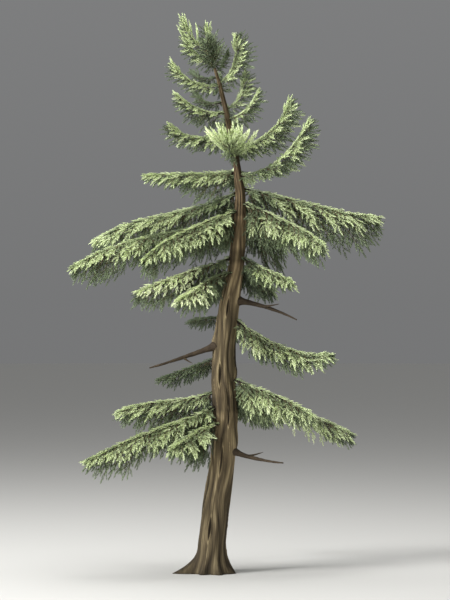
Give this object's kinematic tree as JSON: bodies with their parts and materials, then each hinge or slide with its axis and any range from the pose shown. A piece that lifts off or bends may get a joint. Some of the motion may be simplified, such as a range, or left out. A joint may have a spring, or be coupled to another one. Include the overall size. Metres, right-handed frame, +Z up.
{
  "type": "norway spruce tree",
  "caption": "Tall open-grown spruce with a leaning bare lower trunk, drooping lower boughs, upswept top boughs and a few dead limbs, cut flat at ground level.",
  "frame": {"origin": "centre of the trunk's flat cut at ground level", "axes": "+Z up; +X to the right and -Y towards the viewer of the front, where the trunk leans first to +X and its tip leans back to -X"},
  "size_m": [6.7698, 4.549, 11.9889],
  "materials": {
    "bark": "rough bark",
    "dead_wood": "weathered bare wood",
    "needles": "matte needles"
  },
  "bodies": {
    "root": {"trunk": "bark", "mid_left_high_limb": "bark", "mid_right_high_limb": "bark", "mid_right_front_limb": "bark", "mid_left_front_limb": "bark", "mid_left_long_limb": "bark", "low_left_limb": "bark", "lone_right_limb": "bark", "skirt_left_high_limb": "bark", "skirt_left_long_limb": "bark", "skirt_right_long_limb": "bark", "dead_limb_right_high": "dead_wood", "dead_limb_left": "dead_wood", "dead_limb_right_low": "dead_wood", "leader_tip": "needles", "crown_left": "needles", "crown_upright": "needles", "crown_front": "needles", "crown_back": "needles", "high_right_back": "needles", "top_left": "needles", "top_left_back": "needles", "top_right": "needles", "top_back": "needles", "second_right": "needles", "second_left": "needles", "second_left_back": "needles", "second_right_front": "needles", "second_back": "needles", "third_left": "needles", "third_front": "needles", "third_right": "needles", "third_back": "needles", "fourth_left": "needles", "fourth_right": "needles", "fourth_back": "needles", "mid_left_high": "needles", "mid_right_high": "needles", "mid_right_front": "needles", "mid_left_front": "needles", "mid_left_long": "needles", "mid_back": "needles", "mid_right_back": "needles", "mid_left_back": "needles", "low_left": "needles", "low_left_front": "needles", "low_right_front": "needles", "low_right_back": "needles", "low_back": "needles", "small_left_back": "needles", "lone_right": "needles", "lone_back": "needles", "shade_left_back": "needles", "skirt_left_high": "needles", "skirt_left_long": "needles", "skirt_left_front": "needles", "skirt_right_front": "needles", "skirt_right_long": "needles", "skirt_right_back": "needles", "skirt_left_back": "needles"}
  },
  "joints": []
}
